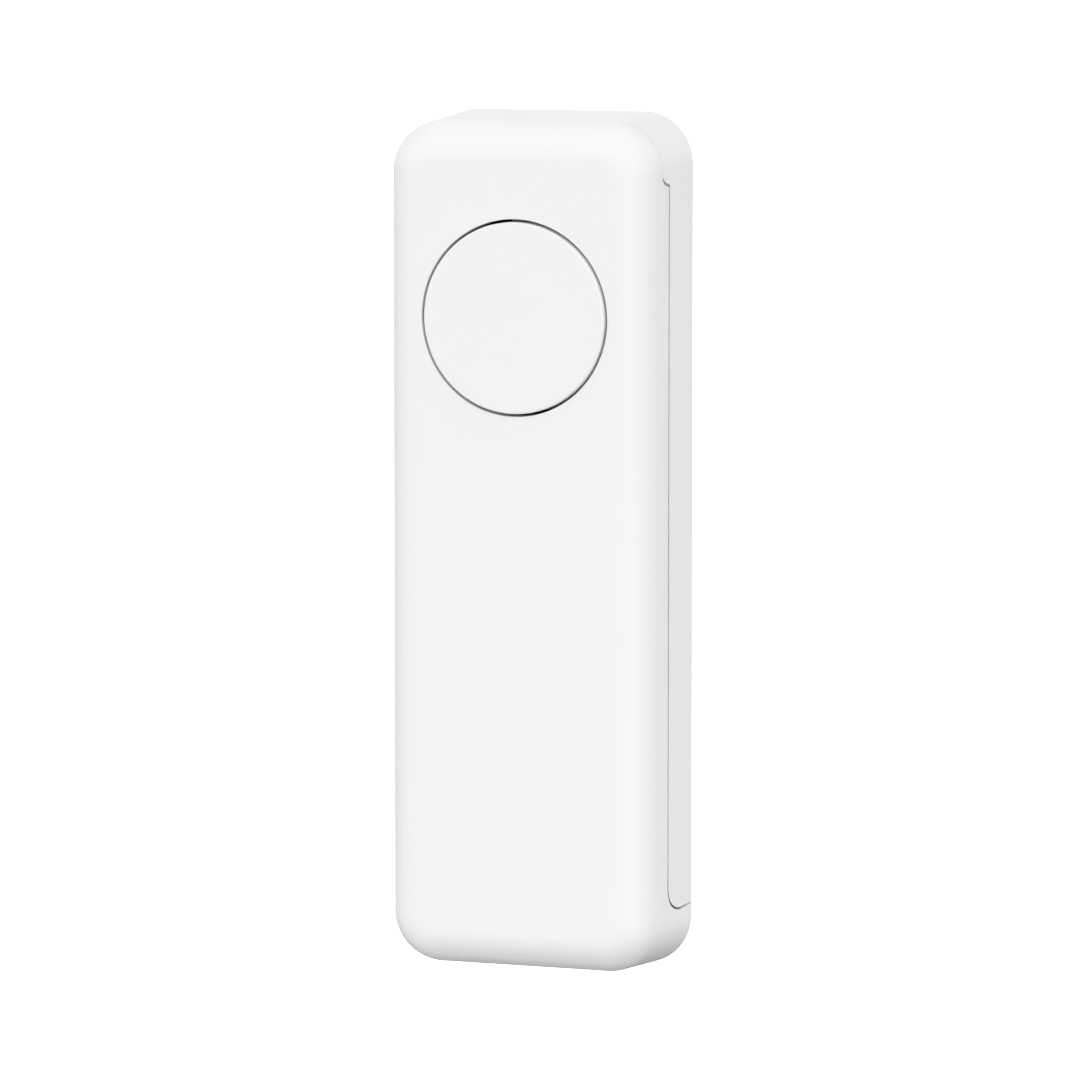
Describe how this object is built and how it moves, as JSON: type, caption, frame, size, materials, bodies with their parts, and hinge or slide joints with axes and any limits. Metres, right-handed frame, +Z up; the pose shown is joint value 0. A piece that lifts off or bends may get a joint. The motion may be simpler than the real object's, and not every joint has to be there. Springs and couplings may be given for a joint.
{
  "type": "door contact sensor",
  "caption": "Slim upright stick-on door contact sensor: rounded white case in two shells, a large round push button, coin cell and reed switch inside.",
  "frame": {"origin": "centre of the adhesive pad's outer face, which lies against the door frame", "axes": "+Z up along the sensor's length, +Y out of its back into the door frame, the button faces -Y, +X to the right seen from the front"},
  "size_m": [0.0266, 0.0138, 0.082],
  "materials": {
    "case_plastic": "satin white moulded plastic",
    "button_plastic": "satin white moulded plastic",
    "adhesive_foam": "grey double-sided foam tape",
    "sponge": "black open-cell sponge",
    "circuit_board": "green solder mask, satin",
    "steel": "brushed stainless steel",
    "nickel_plate": "nickel or tin plated sheet metal",
    "black_plastic": "matte black moulded plastic",
    "chip_black": "matte black epoxy",
    "glass": "clear greenish glass",
    "white_ceramic": "matte",
    "tan_ceramic": "matte",
    "led_resin": "clear resin",
    "gasket": "moulded nylon",
    "cell_filling": "pressed powder, never seen"
  },
  "bodies": {
    "back": {"back_cover": "case_plastic", "adhesive_pad": "adhesive_foam", "cell_foam": "sponge"},
    "front": {"front_shell": "case_plastic", "main_board": "circuit_board", "board_screw_1": "steel", "board_screw_2": "steel", "board_screw_3": "steel", "board_screw_4": "steel", "switch_housing": "black_plastic", "switch_plate": "steel", "switch_dome": "steel", "radio_shield": "nickel_plate", "radio_chip": "chip_black", "radio_crystal": "nickel_plate", "antenna": "white_ceramic", "reed_glass": "glass", "reed_blade_fixed": "nickel_plate", "reed_lead": "nickel_plate", "cell_cradle": "black_plastic", "cell_contact_minus": "nickel_plate", "cell_contact_plus": "nickel_plate", "status_led": "led_resin", "capacitor_1": "tan_ceramic", "capacitor_2": "tan_ceramic", "inductor": "chip_black", "resistor_1": "chip_black", "resistor_2": "chip_black", "resistor_3": "chip_black", "memory_chip": "chip_black", "resistor_4": "chip_black", "resistor_5": "chip_black"},
    "cell": {"cell_can": "steel", "cell_gasket": "gasket", "cell_core": "cell_filling", "cell_cap": "steel"},
    "button": {"button_cap": "button_plastic"},
    "stem": {"switch_stem": "black_plastic"},
    "reed_blade": {"reed_blade_moving": "nickel_plate"}
  },
  "joints": [
    {"name": "cover_slide", "type": "slide", "parent": "back", "child": "front", "axis": [0, -1, 0], "range_m": [0, 0.02]},
    {"name": "button_press", "type": "slide", "parent": "front", "child": "button", "axis": [0, 1, 0], "range_m": [0, 0.0003], "stiffness_N_per_m": 5000},
    {"name": "stem_press", "type": "slide", "parent": "front", "child": "stem", "axis": [0, 1, 0], "range_m": [0, 0.0003], "deforming": ["switch_dome"]},
    {"name": "cell_lift", "type": "slide", "parent": "front", "child": "cell", "axis": [0, 1, 0], "range_m": [0, 0.01]},
    {"name": "reed_close", "type": "hinge", "parent": "front", "child": "reed_blade", "pos_m": [0.0081, -0.0086, -0.0138], "axis": [1, 0, 0], "range_deg": [0, 0.7], "stiffness_Nm_per_rad": 0.001}
  ],
  "couplings": [
    {"joint": "stem_press", "follows": "button_press", "ratio": 1},
    {"joint": "cell_lift", "follows": "cover_slide", "ratio": 0.5}
  ]
}
